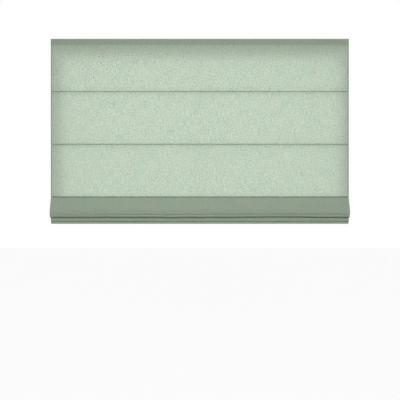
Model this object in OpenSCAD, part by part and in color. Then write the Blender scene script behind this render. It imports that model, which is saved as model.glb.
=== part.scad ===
// Cordless roman blind, drawn partly lowered: three flat panels, two gathered folds and a hem.
// +X runs along the headrail, -Y faces the room and the wall is the plane y = 0.
// The origin lies on the wall, midway between the two bracket screws.

/* [Cloth] */
// Width of the cloth
cloth_w = 1300; // [1200:10:1500]
// Thickness of the cloth
cloth_t = 0.8; // [0.6:0.1:1]
// Height of one flat panel, from seam to seam
panel_pitch = 230; // [210:5:260]
// Width of the doubled cloth along each side edge
side_hem_w = 7; // [6:1:16]
// Gap at a seam between the cloth of one panel and the next
seam_gap = 0.3; // [0.2:0.1:0.5]
// Radius of the cloth's turn into a seam
seam_r = 1.5; // [1.2:0.1:2]

/* [Gathered folds] */
// Drop of the front fold below the lowest flat panel
front_fold_drop = 89; // [74:1:94]
// How far the front fold bellies out before the flat cloth
front_fold_belly = 16; // [13:0.5:20]
// Radius of the front fold's rounded belly
front_belly_r = 40; // [32:1:48]
// Angle through which the belly turns back towards its lower edge
front_tuck_a = 32; // [24:1:36]
// Radius of the front fold's lower edge
front_fold_r = 2; // [1.5:0.5:3]
// Drop of the second fold below the lowest flat panel
second_fold_drop = 107; // [101:1:112]
// How far the second fold stands before its seam
second_fold_belly = 4; // [3:0.5:5]
// Radius of the second fold's lower edge
second_fold_r = 3.5; // [3:0.5:4]
// Drop of the hem below the lowest flat panel
hem_drop = 117; // [112:1:140]
// Distance from one gathered rod to the next
gathered_pitch = 12; // [11:0.5:15]
// Air between two gathered layers of cloth
layer_gap = 0.5; // [0.4:0.1:0.8]

/* [Rods and rings] */
// Diameter of a rod
rod_d = 4; // [3:0.5:5]
// Clearance of a rod in its cloth pocket
rod_clear = 0.3; // [0.2:0.1:0.5]
// Distance from the cloth's edge to the end of a rod
rod_end = 14; // [10:1:40]
// Wall of a ring clip
clip_t = 1.2; // [1:0.1:1.6]
// Length of a ring clip along its rod
clip_l = 10; // [8:1:20]
// Clearance of a ring clip on the cloth pocket
clip_fit = 0.2; // [0.1:0.1:0.3]
// Opening of a ring clip where the cloth passes
clip_mouth = 4; // [3:0.5:4.5]
// Inner diameter of a ring's eye
eye_d = 4.5; // [3.5:0.5:6]
// Wall of a ring's eye
eye_t = 1.75; // [1.5:0.25:2]
// Height of a ring's eye
eye_h = 5; // [3:0.5:7]

/* [Lift cords] */
// Diameter of a lift cord
cord_d = 1.4; // [1:0.1:1.8]
// Distance from the cloth's edge to the outer cords
cord_inset = 150; // [120:5:180]
// Turns of cord left on each drum
cord_turns = 10; // [4:1:14]
// Diameter of the bead that ends a cord
stop_d = 6; // [5.5:0.5:8]
// Height of the bead that ends a cord
stop_h = 9; // [6:1:14]
// Clearance of a cord in its bead
stop_clear = 0.1; // [0.1:0.1:0.2]

/* [Headrail] */
// Distance of the cloth's front face from the wall
stand_off = 55; // [52:1:70]
// Depth of the headrail
rail_depth = 36; // [36:1:38]
// Height of the headrail
rail_h = 26; // [25:1:32]
// Wall of the headrail
rail_t = 1.4; // [1:0.1:1.6]
// Depth of the recess in the headrail's top
rail_recess = 3; // [2.8:0.2:3.4]
// Width of each lip under the headrail
rail_lip = 5; // [3:0.5:6]
// Thickness of the front wall's top bead
rail_bead = 0.6; // [0.4:0.1:0.6]
// Distance from the headrail's edges to the hook and loop tapes
tape_margin = 3; // [2.5:0.5:6]
// Height of the ridges above and below the tapes
ridge_t = 0.6; // [0.4:0.1:0.8]
// Thickness of one tape
tape_t = 1; // [0.8:0.1:1.2]
// Thickness of an end cap's plate
cap_t = 2; // [1:0.5:4]
// Length of an end cap's plug
cap_plug_l = 10; // [6:1:20]
// Wall of an end cap's plug
cap_plug_t = 1.5; // [1:0.1:2]
// Corner radius of an end cap
cap_r = 1.5; // [1:0.1:2]
// Distance from the cloth's edge to an end cap
cap_inset = 1; // [0:0.5:4]
// Clearance of what slides into the headrail
rail_fit = 0.3; // [0.2:0.1:0.4]

/* [Brackets] */
// Distance from the cloth's edge to a bracket's screw
bracket_inset = 200; // [180:5:300]
// Width of a bracket
bracket_w = 40; // [30:1:60]
// Thickness of a bracket
bracket_t = 2; // [1.5:0.1:2.2]
// Corner radius of a bracket's wall plate
bracket_r = 4; // [2:0.5:6]
// Diameter of a bracket's screw hole
screw_d = 4.5; // [3.5:0.5:6]
// Width of a bracket's snap tongue
tongue_w = 18; // [10:1:24]
// Thickness of a bracket's snap tongue
tongue_t = 1.2; // [1:0.1:1.5]
// Reach of the tongue's toe under the headrail
toe_reach = 1.5; // [1:0.1:2.5]
// Length of the tab that releases the tongue
tab_l = 5; // [3:0.5:8]
// Clearance between a bracket and the headrail
snap_gap = 0.3; // [0.2:0.1:0.4]
// Thickness of a bracket's side gusset
gusset_t = 1.5; // [1:0.1:2]
// Leg of a bracket's side gusset
gusset_leg = 10; // [6:1:11]

/* [Lift mechanism] */
// Width across the flats of the shaft
shaft_af = 6; // [5:0.5:6]
// Length of the shaft past the outer cords
shaft_over = 40; // [35:1:50]
// Clearance of what turns with the shaft
shaft_fit = 0.1; // [0.1:0.1:0.2]
// Radius of a drum's winding sleeve
drum_r = 6; // [5.5:0.1:6.2]
// Length of a drum's winding sleeve
drum_l = 24; // [22:1:40]
// Height of a drum's flange above the sleeve
flange_h = 2; // [1.8:0.1:2.2]
// Thickness of a drum's flange
flange_t = 1.5; // [1:0.1:2.5]
// Length of the slope from a drum's flange to its sleeve
flange_slope = 2; // [1:0.5:3]
// Radius of a drum's bearing journal
journal_r = 4.5; // [4.2:0.1:5]
// Length of a drum's bearing journal
journal_l = 5; // [4:0.5:8]
// Radial clearance of a bearing
bearing_gap = 0.1; // [0.1:0.1:0.3]
// Thickness of a bearing wall
bearing_t = 3; // [2:0.5:4]
// Thickness of the wall of plastic round a bearing
bearing_rim = 2.5; // [2:0.5:3]
// Thickness of a cradle's base
cradle_t = 1.6; // [1.2:0.1:1.8]
// End play of a drum in its cradle
drum_play = 0.5; // [0.3:0.1:1]
// Distance from the cloth's right edge to the spring's fixed end
spring_inset = 320; // [270:5:350]
// Length of the spring
spring_l = 200; // [120:5:220]
// Wire diameter of the spring
spring_wire = 1.2; // [0.8:0.1:1.4]
// Turns of the spring
spring_turns = 18; // [12:1:36]
// Length of the boss that a spring end grips
boss_l = 12; // [8:1:16]
// Distance from the cloth's left edge to the middle of the brake case
brake_inset = 400; // [270:5:530]
// Length of the brake case
brake_l = 44; // [30:1:70]
// Height of the brake case above its base
brake_h = 16; // [14:0.5:17]
// Depth of the brake case
brake_d = 26; // [18:1:27]
// Radius of the brake case's upper edges
brake_r = 4; // [2:0.5:5]
// Height of the rib round the brake case
brake_rib = 0.8; // [0.4:0.1:0.8]

/* [Bottom bar] */
// Thickness of the bottom bar
bar_t = 3; // [2:0.5:4]
// Height of the bottom bar
bar_h = 20; // [16:1:22]
// Radius of the bottom bar's edges
bar_r = 0.8; // [0.5:0.1:0.9]
// Clearance of the bottom bar in its hem
bar_clear = 0.3; // [0.2:0.1:0.5]
// Length of a bottom bar's end cap
bar_cap_l = 4; // [3:0.5:8]
// Depth of the bar's seat in an end cap
bar_seat = 3; // [1.5:0.5:3]

/* [Hidden] */
$fn = 64;

cloth_colour = [0.76, 0.82, 0.75];
alu_colour = [0.88, 0.89, 0.88];
plastic_colour = [0.95, 0.95, 0.93];
steel_colour = [0.72, 0.73, 0.74];
tape_colour = [0.9, 0.91, 0.88];
rod_colour = [0.93, 0.94, 0.9];

// Heights of the seams, which are the heights of the rods
z_top = rail_h / 2;
function rod_z(i) = i <= 3 ? z_top - i * panel_pitch : rod_z(3) - (i - 3) * gathered_pitch;

// Depths of the cloth, its pockets, the rods and the cords
cloth_y = -stand_off + cloth_t / 2;
layer_pitch = cloth_t + layer_gap;
web_t = 2 * cloth_t;
pocket_d = rod_d + 2 * rod_clear;
pocket_od = pocket_d + 2 * cloth_t;
function crest_y(i) = cloth_y - layer_gap + (i - 1) * layer_pitch;
clip_r = pocket_od / 2 + clip_fit;
rod_y = crest_y(4) + cloth_t / 2 + layer_gap + clip_t + clip_r;
cord_y = rod_y + clip_r + clip_t + eye_d / 2;
pocket_w = cloth_w - 2 * side_hem_w;
rod_l = cloth_w - 2 * rod_end;
cord_span = cloth_w - 2 * cord_inset;
cord_xs = [-cord_span / 2, 0, cord_span / 2];

// Centres of the front fold's belly and of the two folds' lower edges, as places in the section
belly_x = cloth_y - front_fold_belly + front_belly_r;
tuck = front_belly_r - front_fold_r;
front_c = [belly_x - tuck * cos(front_tuck_a),
    rod_z(3) - front_fold_drop + cloth_t / 2 + front_fold_r];
belly_c = [belly_x, front_c.y + tuck * sin(front_tuck_a)];
second_c = [crest_y(2) - second_fold_belly + second_fold_r,
    rod_z(3) - second_fold_drop + cloth_t / 2 + second_fold_r];

// Section of the hem and its bar
hem_bottom = rod_z(3) - hem_drop;
hem_wall_y = second_c.x + second_fold_r + layer_pitch;
bar_y = hem_wall_y + cloth_t / 2 + bar_clear + bar_t / 2;
bar_z = hem_bottom + cloth_t + bar_clear + bar_h / 2;
hem_pocket = [bar_t + 2 * bar_clear + 2 * cloth_t, bar_h + 2 * bar_clear + 2 * cloth_t];
hem_r = bar_r + cloth_t;

// Headrail walls and what lies in it
tape_y = cloth_y + cloth_t / 2;
tape_h = rail_h - 2 * tape_margin;
rail_front = tape_y + 2 * tape_t;
rail_back = rail_front + rail_depth;
rail_mid = (rail_front + rail_back) / 2;
rail_l = cloth_w - 2 * (cap_inset + cap_t);
rail_roof = z_top - rail_recess;
rail_floor = -z_top + rail_t;
inner_d = rail_depth - 2 * rail_t;
inner_h = rail_roof - rail_t - rail_floor;
key_d = inner_d - 2 * rail_lip - 2 * rail_fit;
wind_r = drum_r + cord_d / 2;
shaft_y = cord_y + wind_r;
base_top = rail_floor + cradle_t;
flange_r = drum_r + flange_h;
shaft_z = base_top + flange_r + drum_play;
shaft_l = cord_span + 2 * shaft_over;
bearing_r = journal_r + bearing_gap;
bearing_x = drum_l / 2 + flange_t + drum_play + bearing_t / 2;
cradle_l = 2 * bearing_x + bearing_t + 2 * bearing_rim;
shaft_hole_r = shaft_af / sqrt(3) + bearing_gap;
boss_r = shaft_hole_r + bearing_rim;
coil_steps = 12;
spring_r = (boss_r + shaft_fit) / cos(180 / coil_steps) + spring_wire / 2;
spring_x = cloth_w / 2 - spring_inset;
hub_x = spring_x - spring_l;
brake_x = brake_inset - cloth_w / 2;

// Point at an angle round a centre, in the section plane
function polar(c, r, a) = [c.x + r * cos(a), c.y + r * sin(a)];
// Angle of the tangent from a point to a circle, on the side given as 1 or -1
function touch_a(p, c, r, side) = atan2(p.y - c.y, p.x - c.x) + side * acos(r / norm(p - c));

// Lays a section on its plane, with its first axis along Y, and draws it out along X
module along_x(l) {
    rotate([90, 0, 90]) linear_extrude(l, center = true) children();
}

// Rectangle with round corners, centred
module rounded(size, r) {
    square([size.x, size.y - 2 * r], center = true);
    square([size.x - 2 * r, size.y], center = true);
    for (sx = [-1, 1], sy = [-1, 1])
        translate([sx * (size.x / 2 - r), sy * (size.y / 2 - r)]) circle(r);
}

// Straight run of cloth between two points of the section, with round ends
module run(p, q) {
    side = cloth_t / 2 * [p.y - q.y, q.x - p.x] / norm(q - p);
    polygon([p + side, q + side, q - side, p - side]);
    for (e = [p, q]) translate(e) circle(d = cloth_t);
}

// Run of cloth round a fold's lower edge, from angle a to angle b
module bend(c, r, a, b) {
    reach = 3 * r;
    steps = [for (i = [0:4]) polar(c, reach, a + (b - a) * i / 4)];
    intersection() {
        translate(c) difference() {
            circle(r + cloth_t / 2);
            circle(r - cloth_t / 2);
        }
        polygon(concat([c], steps));
    }
}

// Fold of cloth from a seam at p, down round a lower edge and up to q behind it
module fold_section(p, c, r, q) {
    front_a = touch_a(p, c, r, 1);
    back_a = touch_a(q, c, r, -1) + 360;
    run(p, polar(c, r, front_a));
    bend(c, r, front_a, back_a);
    run(polar(c, r, back_a), q);
}

// Front fold: from a seam at p down its belly, back to its lower edge and up to q behind it
module belly_section(p, q) {
    front_a = touch_a(p, belly_c, front_belly_r, 1);
    tuck_a = 180 + front_tuck_a;
    back_a = touch_a(q, front_c, front_fold_r, -1) + 360;
    run(p, polar(belly_c, front_belly_r, front_a));
    bend(belly_c, front_belly_r, front_a, tuck_a);
    translate(polar(front_c, front_fold_r, tuck_a)) circle(d = cloth_t);
    bend(front_c, front_fold_r, tuck_a, back_a);
    run(polar(front_c, front_fold_r, back_a), q);
}

// Pocket that holds rod i, on a web of doubled cloth that reaches forward to y_from
module pocket(i, y_from) {
    web_end = rod_y - pocket_d / 2 - cloth_t / 4;
    along_x(pocket_w) {
        translate([rod_y, rod_z(i)]) difference() {
            circle(d = pocket_od);
            circle(d = pocket_d);
        }
        translate([y_from, rod_z(i) - web_t / 2]) square([web_end - y_from, web_t]);
    }
}

// Doubled cloth behind both side edges of a flat panel
module side_hems(z_low, z_high) {
    for (s = [-1, 1])
        translate([s * (cloth_w - side_hem_w) / 2, cloth_y + cloth_t, (z_low + z_high) / 2])
            cube([side_hem_w, cloth_t, z_high - z_low], center = true);
}

// Flat cloth from z_high down to the seam of rod i, where it turns in above the web
module flat_panel(z_high, i) {
    turn_z = rod_z(i) + web_t / 2 + seam_gap + cloth_t / 2 + seam_r;
    along_x(cloth_w) {
        bend([cloth_y + seam_r, turn_z], seam_r, 180, 270);
        translate([cloth_y - cloth_t / 2, turn_z]) square([cloth_t, z_high - turn_z]);
    }
    side_hems(turn_z, z_high);
}

// Cloth that comes out of the seam of rod i and turns down, with the pocket behind it
module seam_start(i) {
    pocket(i, cloth_y + seam_r);
    along_x(cloth_w) bend([cloth_y + seam_r, rod_z(i) - seam_r], seam_r, 90, 180);
}

// Flat panel i, which hangs from the rod above it
module rod_panel(i) {
    color(cloth_colour) {
        seam_start(i - 1);
        flat_panel(rod_z(i - 1) - seam_r, i);
    }
}

module fabric_panel_1() {
    color(cloth_colour) flat_panel(z_top, 1);
}

module fabric_panel_2() { rod_panel(2); }

module fabric_panel_3() { rod_panel(3); }

module fold_1() {
    start = [cloth_y, rod_z(3) - seam_r];
    end = [crest_y(1), rod_z(4) - web_t / 2 - seam_gap - cloth_t / 2];
    color(cloth_colour) {
        seam_start(3);
        along_x(cloth_w) belly_section(start, end);
    }
}

module fold_2() {
    start = [crest_y(2), rod_z(4)];
    end = [crest_y(3), rod_z(5) - web_t / 2 - seam_gap - cloth_t / 2];
    color(cloth_colour) {
        pocket(4, crest_y(1) - cloth_t / 2);
        along_x(cloth_w) fold_section(start, second_c, second_fold_r, end);
    }
}

// Hem panel, with the flat tube of cloth that holds the bottom bar
module hem_panel() {
    neck = 2 * cloth_t;
    hem_top = [hem_wall_y, hem_bottom + hem_pocket.y + neck - cloth_t / 2];
    color(cloth_colour) {
        pocket(5, crest_y(3) - cloth_t / 2);
        along_x(cloth_w) run([crest_y(4), rod_z(5)], hem_top);
        along_x(cloth_w - 2 * bar_cap_l) {
            translate([bar_y, bar_z]) difference() {
                rounded(hem_pocket, hem_r);
                rounded(hem_pocket - 2 * [cloth_t, cloth_t], bar_r);
            }
            translate([hem_wall_y - cloth_t / 2, hem_bottom + hem_pocket.y - cloth_t])
                square([cloth_t, neck + cloth_t / 2]);
        }
    }
}

// Rod i in its pocket
module rod(i) {
    color(rod_colour) translate([0, rod_y, rod_z(i)]) rotate([0, 90, 0])
        cylinder(d = rod_d, h = rod_l, center = true);
}

module rod_1() { rod(1); }
module rod_2() { rod(2); }
module rod_3() { rod(3); }
module rod_4() { rod(4); }
module rod_5() { rod(5); }

// Ring clip that snaps round a rod's pocket and guides a cord through its eye
module ring_clip(x, i) {
    translate([x, 0, rod_z(i)]) difference() {
        union() {
            translate([0, rod_y, 0]) rotate([0, 90, 0])
                cylinder(r = clip_r + clip_t, h = clip_l, center = true);
            translate([0, cord_y, 0]) cylinder(d = eye_d + 2 * eye_t, h = eye_h, center = true);
        }
        translate([0, rod_y, 0]) rotate([0, 90, 0])
            cylinder(r = clip_r, h = 2 * clip_l, center = true);
        translate([0, rod_y - clip_r, 0])
            cube([2 * clip_l, 2 * clip_r, clip_mouth], center = true);
        translate([0, cord_y, 0]) cylinder(d = eye_d, h = 2 * eye_h, center = true);
    }
}

// Ring clips of rod i, one for each cord
module rings(i) {
    color(plastic_colour) for (x = cord_xs) ring_clip(x, i);
}

module rings_1() { rings(1); }
module rings_2() { rings(2); }
module rings_3() { rings(3); }
module rings_4() { rings(4); }
module rings_5() { rings(5); }

// Beads that end the cords under the lowest rings
module cord_stops() {
    color(plastic_colour) for (x = cord_xs)
        translate([x, cord_y, rod_z(5) - eye_h / 2 - stop_h]) difference() {
            union() {
                cylinder(d1 = stop_d / 2, d2 = stop_d, h = stop_h / 3);
                translate([0, 0, stop_h / 3]) cylinder(d = stop_d, h = 2 * stop_h / 3);
            }
            translate([0, 0, -stop_h / 2])
                cylinder(d = cord_d + 2 * stop_clear, h = 2 * stop_h);
        }
}

// Cords, each wound on its drum and hanging through its row of rings
module lift_cords() {
    wound_l = cord_turns * cord_d;
    cord_l = shaft_z - rod_z(5) + eye_h / 2 + stop_h;
    color(plastic_colour) for (x = cord_xs) {
        translate([x, shaft_y, shaft_z]) rotate([0, 90, 0]) difference() {
            cylinder(r = drum_r + cord_d, h = wound_l, center = true);
            cylinder(r = drum_r + shaft_fit, h = 2 * wound_l, center = true);
        }
        translate([x, cord_y, shaft_z - cord_l]) cylinder(d = cord_d, h = cord_l);
    }
}

// Extruded headrail: open below between two lips, with a recessed roof, a beaded front wall and a
// ridge above and below the tape's seat
module headrail() {
    bead_d = 2 * rail_t;
    color(alu_colour) along_x(rail_l) {
        translate([rail_front, -z_top]) square([rail_t, rail_h]);
        translate([rail_front, z_top - rail_bead]) square([bead_d, rail_bead]);
        for (z = [-z_top, z_top - rail_t])
            translate([rail_front - ridge_t, z]) square([ridge_t + rail_t, rail_t]);
        translate([rail_back - rail_t, -z_top]) square([rail_t, rail_roof + z_top]);
        translate([rail_front, rail_roof - rail_t]) square([rail_depth, rail_t]);
        translate([rail_front, -z_top]) square([rail_t + rail_lip, rail_t]);
        translate([rail_back - rail_t - rail_lip, -z_top]) square([rail_t + rail_lip, rail_t]);
    }
}

// One tape strip, whose front face lies at y_front
module tape(y_front) {
    tape_l = cloth_w - 2 * side_hem_w - 2 * tape_t;
    color(tape_colour) translate([-tape_l / 2, y_front, -tape_h / 2]) cube([tape_l, tape_t, tape_h]);
}

module loop_tape() { tape(tape_y); }

module hook_tape() { tape(tape_y + tape_t); }

// End cap of the right end: a plate and a hollow plug inside the headrail
module end_cap() {
    plug_d = inner_d - 2 * rail_fit;
    plug_h = inner_h - 2 * rail_fit;
    plug_z = rail_floor + inner_h / 2;
    color(plastic_colour) {
        translate([rail_l / 2 + cap_t / 2, 0, 0]) along_x(cap_t)
            translate([rail_mid, 0]) rounded([rail_depth, rail_h], cap_r);
        translate([rail_l / 2 - cap_plug_l / 2, rail_mid, plug_z]) difference() {
            cube([cap_plug_l, plug_d, plug_h], center = true);
            cube([2 * cap_plug_l, plug_d - 2 * cap_plug_t, plug_h - 2 * cap_plug_t], center = true);
        }
    }
}

module end_cap_right() { end_cap(); }

module end_cap_left() { mirror([1, 0, 0]) end_cap(); }

// Wall plate of a bracket, with round corners and its screw hole
module wall_plate(height) {
    rotate([90, 0, 0]) linear_extrude(bracket_t) difference() {
        translate([0, rail_roof + bracket_t - height / 2]) rounded([bracket_w, height], bracket_r);
        circle(d = screw_d);
    }
}

// Bent bracket: a wall plate, a leg in the headrail's recess and a tongue that snaps under its back,
// with a tab below for the finger that lets it go
module bracket(x) {
    leg_end = rail_front + rail_t + snap_gap;
    tongue_y = rail_back + snap_gap;
    toe_z = -z_top - snap_gap - tongue_t;
    plate_h = rail_roof + bracket_t + z_top;
    leg_w = bracket_w - 2 * bracket_r;
    color(steel_colour) translate([x, 0, 0]) {
        wall_plate(plate_h);
        translate([-leg_w / 2, leg_end, rail_roof]) cube([leg_w, -leg_end, bracket_t]);
        translate([-tongue_w / 2, tongue_y, toe_z - tab_l])
            cube([tongue_w, tongue_t, rail_roof + bracket_t - toe_z + tab_l]);
        translate([-tongue_w / 2, rail_back - toe_reach, toe_z])
            cube([tongue_w, toe_reach + snap_gap + tongue_t, tongue_t]);
        for (s = [-1, 1]) translate([s * (leg_w - gusset_t) / 2, 0, 0]) along_x(gusset_t)
            polygon([[-bracket_t, rail_roof], [-bracket_t - gusset_leg, rail_roof],
                [-bracket_t, rail_roof - gusset_leg]]);
    }
}

module bracket_left() { bracket(bracket_inset - cloth_w / 2); }

module bracket_right() { bracket(cloth_w / 2 - bracket_inset); }

// Base that stands on the headrail's lips, with a key between them
module rail_base(l) {
    base_d = inner_d - 2 * rail_fit;
    translate([-l / 2, rail_mid - base_d / 2, rail_floor]) cube([l, base_d, cradle_t]);
    translate([-l / 2, rail_mid - key_d / 2, -z_top]) cube([l, key_d, rail_t]);
}

// Bearing wall on a base, open above so that the journal snaps in
module bearing_wall(x) {
    wall_r = bearing_r + bearing_rim;
    mouth = 2 * bearing_r - bearing_rim;
    translate([x, 0, 0]) difference() {
        along_x(bearing_t) {
            translate([shaft_y, shaft_z]) circle(wall_r);
            translate([shaft_y - wall_r, rail_floor]) square([2 * wall_r, shaft_z - rail_floor]);
        }
        translate([0, shaft_y, shaft_z]) rotate([0, 90, 0])
            cylinder(r = bearing_r, h = 2 * bearing_t, center = true);
        translate([-bearing_t, shaft_y - mouth / 2, shaft_z])
            cube([2 * bearing_t, mouth, 2 * wall_r]);
    }
}

// Cradle that carries a drum over its cord's slot
module cradle(x) {
    slot_d = 4 * cord_d;
    color(plastic_colour) translate([x, 0, 0]) {
        difference() {
            rail_base(cradle_l);
            translate([-drum_l / 2, cord_y - slot_d / 2, -rail_h]) cube([drum_l, slot_d, rail_h]);
        }
        for (s = [-1, 1]) bearing_wall(s * bearing_x);
    }
}

module cradle_left() { cradle(cord_xs[0]); }

module cradle_middle() { cradle(cord_xs[1]); }

module cradle_right() { cradle(cord_xs[2]); }

// Hexagonal bar along X on the shaft's line
module hex_bar(af, l) {
    translate([0, shaft_y, shaft_z]) rotate([0, 90, 0])
        cylinder(d = af * 2 / sqrt(3), h = l, center = true, $fn = 6);
}

// Round bar along X on the shaft's line, centred at x
module shaft_disc(x, r, l) {
    translate([x, shaft_y, shaft_z]) rotate([0, 90, 0]) cylinder(r = r, h = l, center = true);
}

module lift_shaft() {
    color(steel_colour) hex_bar(shaft_af, shaft_l);
}

// Drum: a winding sleeve between two flanges that slope down to it, with a journal at each end
module drum(x) {
    flange_x = (drum_l + flange_t) / 2;
    journal_x = drum_l / 2 + flange_t + journal_l / 2;
    color(plastic_colour) translate([x, 0, 0]) difference() {
        union() {
            shaft_disc(0, drum_r, drum_l);
            for (s = [-1, 1]) {
                shaft_disc(s * flange_x, flange_r, flange_t);
                shaft_disc(s * journal_x, journal_r, journal_l);
                translate([s * drum_l / 2, shaft_y, shaft_z]) rotate([0, -s * 90, 0])
                    cylinder(r1 = flange_r, r2 = drum_r, h = flange_slope);
            }
        }
        hex_bar(shaft_af + 2 * shaft_fit, 4 * drum_l);
    }
}

module drum_left() { drum(cord_xs[0]); }

module drum_middle() { drum(cord_xs[1]); }

module drum_right() { drum(cord_xs[2]); }

// Fixed end of the spring: a post on the headrail's lips with a boss that the coil grips
module spring_anchor() {
    post_l = 2 * bearing_t;
    color(plastic_colour) difference() {
        union() {
            translate([spring_x + post_l / 2, 0, 0]) {
                rail_base(cradle_l / 2);
                along_x(post_l) {
                    translate([shaft_y, shaft_z]) circle(flange_r);
                    translate([shaft_y - flange_r, rail_floor])
                        square([2 * flange_r, shaft_z - rail_floor]);
                }
            }
            shaft_disc(spring_x - boss_l / 2, boss_r, boss_l);
        }
        shaft_disc(spring_x, shaft_hole_r, 4 * cradle_l);
    }
}

// Turning end of the spring: a flanged boss on the shaft
module spring_hub() {
    color(plastic_colour) difference() {
        union() {
            shaft_disc(hub_x - flange_t / 2, flange_r, flange_t);
            shaft_disc(hub_x + boss_l / 2, boss_r, boss_l);
        }
        translate([hub_x, 0, 0]) hex_bar(shaft_af + 2 * shaft_fit, 4 * boss_l);
    }
}

// Coil spring round the shaft, swept as one closed tube along its helix
module balance_spring() {
    wire_sides = 5;
    steps = spring_turns * coil_steps;
    length = spring_l - spring_wire;
    start = hub_x + spring_wire / 2;
    rings = [for (i = [0:steps], k = [0:wire_sides - 1])
        let (a = 360 * i / coil_steps, b = 360 * k / wire_sides, r = spring_r + spring_wire / 2 * cos(b))
        [start + length * i / steps + spring_wire / 2 * sin(b), shaft_y + r * cos(a), shaft_z + r * sin(a)]];
    sides = [for (i = [0:steps - 1], k = [0:wire_sides - 1], half = [0, 1])
        let (j = i * wire_sides, n = (k + 1) % wire_sides, across = j + wire_sides + n)
        half == 0 ? [j + k, j + n, across] : [j + k, across, j + wire_sides + k]];
    first = [for (k = [wire_sides - 1:-1:0]) k];
    last = [for (k = [0:wire_sides - 1]) steps * wire_sides + k];
    color(steel_colour) polyhedron(rings, concat(sides, [first, last]));
}

// Case of the brake that holds the shaft where the blind is left: a shell with round upper edges,
// a rib along its parting line and a collar at each end
module brake_case() {
    mid = [shaft_y, base_top + brake_h / 2];
    color(plastic_colour) difference() {
        translate([brake_x, 0, 0]) {
            rail_base(brake_l);
            along_x(brake_l) translate(mid) {
                rounded([brake_d, brake_h], brake_r);
                translate([-brake_d / 2, -brake_h / 2]) square([brake_d, brake_h / 2]);
            }
            along_x(brake_l + 2 * brake_rib) translate(mid)
                square([brake_d + 2 * brake_rib, 2 * brake_rib], center = true);
            shaft_disc(0, boss_r, brake_l + 2 * bearing_t);
        }
        shaft_disc(brake_x, shaft_hole_r, 4 * brake_l);
    }
}

// Flat bar that weighs the hem down
module bottom_bar() {
    bar_l = cloth_w - 2 * bar_cap_l + 2 * bar_seat;
    color(alu_colour) along_x(bar_l) translate([bar_y, bar_z]) rounded([bar_t, bar_h], bar_r);
}

// Cap on the right end of the bottom bar
module bottom_bar_cap() {
    seat_x = cloth_w / 2 - bar_cap_l;
    color(plastic_colour) difference() {
        translate([seat_x + bar_cap_l / 2, 0, 0]) along_x(bar_cap_l)
            translate([bar_y, bar_z]) rounded(hem_pocket, hem_r);
        translate([seat_x, 0, 0]) along_x(2 * bar_seat)
            translate([bar_y, bar_z]) rounded([bar_t, bar_h], bar_r);
    }
}

module bottom_bar_cap_right() { bottom_bar_cap(); }

module bottom_bar_cap_left() { mirror([1, 0, 0]) bottom_bar_cap(); }

headrail();
hook_tape();
loop_tape();
end_cap_left();
end_cap_right();
bracket_left();
bracket_right();
cradle_left();
cradle_middle();
cradle_right();
spring_anchor();
balance_spring();
brake_case();
lift_shaft();
drum_left();
drum_middle();
drum_right();
spring_hub();
lift_cords();
fabric_panel_1();
fabric_panel_2();
fabric_panel_3();
fold_1();
fold_2();
hem_panel();
rod_1();
rod_2();
rod_3();
rod_4();
rod_5();
rings_1();
rings_2();
rings_3();
rings_4();
rings_5();
cord_stops();
bottom_bar();
bottom_bar_cap_left();
bottom_bar_cap_right();
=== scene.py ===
"""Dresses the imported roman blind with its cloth, cords and finishes, and lights it from both sides.

Lengths are in metres, in the frame of the solids: +X runs along the headrail, -Y faces the room,
+Z is up and the wall is the plane y = 0. A section is a list of (y, z) places.
"""

from __future__ import annotations

import logging
import math
from dataclasses import dataclass, field
from enum import Enum
from typing import Any, Dict, List, Mapping, Optional, Sequence, Tuple, Union

import bpy
import numpy as np
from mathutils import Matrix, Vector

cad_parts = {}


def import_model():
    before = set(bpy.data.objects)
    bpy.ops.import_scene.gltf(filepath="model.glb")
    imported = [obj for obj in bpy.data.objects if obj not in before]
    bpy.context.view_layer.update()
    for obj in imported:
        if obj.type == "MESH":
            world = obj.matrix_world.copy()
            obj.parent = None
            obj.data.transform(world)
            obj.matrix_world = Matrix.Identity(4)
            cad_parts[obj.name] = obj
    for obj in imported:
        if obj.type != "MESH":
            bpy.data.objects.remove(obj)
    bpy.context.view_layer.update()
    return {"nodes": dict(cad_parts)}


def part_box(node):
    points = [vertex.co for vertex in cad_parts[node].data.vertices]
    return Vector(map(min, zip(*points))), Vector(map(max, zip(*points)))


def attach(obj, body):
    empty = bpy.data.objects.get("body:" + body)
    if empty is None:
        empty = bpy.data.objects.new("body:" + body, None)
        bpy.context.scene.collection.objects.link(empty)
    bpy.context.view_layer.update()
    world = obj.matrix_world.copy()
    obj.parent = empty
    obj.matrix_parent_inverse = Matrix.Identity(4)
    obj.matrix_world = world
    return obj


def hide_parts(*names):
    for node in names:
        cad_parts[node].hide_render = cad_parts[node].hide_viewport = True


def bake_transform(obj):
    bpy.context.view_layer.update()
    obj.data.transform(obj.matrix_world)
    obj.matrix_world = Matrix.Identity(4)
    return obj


LOG = logging.getLogger("roman_blind")
MM = 0.001
TURN = 2.0 * math.pi

# Angles in a section, counted from the wall's side over the top
WALLWARD = 0.0
UPWARD = TURN / 4
ROOMWARD = TURN / 2
DOWNWARD = 0.75 * TURN

WHITE = (1.0, 1.0, 1.0, 1.0)

Triple = Tuple[float, float, float]
Colour = Triple
Place = Tuple[float, float]
Shift = Union[np.ndarray, float]


class Body(Enum):
    """The rigid bodies, from the headrail down to the lowest rod."""

    RAIL = "root"
    ROD_1 = "rod_1"
    ROD_2 = "rod_2"
    ROD_3 = "rod_3"
    ROD_4 = "rod_4"
    ROD_5 = "rod_5"


CHAIN = list(Body)


class Held(Enum):
    """The ways that a sheet of this cloth is held."""

    HUNG = "hung"
    FOLDED = "folded"
    STRETCHED = "stretched"


class Slot(Enum):
    """The material slots of the pieces that are drawn here."""

    CLOTH = "cloth"
    CORD = "cord"
    STEEL = "steel"


class Coords(Enum):
    """The coordinates that a pattern reads."""

    OBJECT = "Object"
    UV = "UV"


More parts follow.
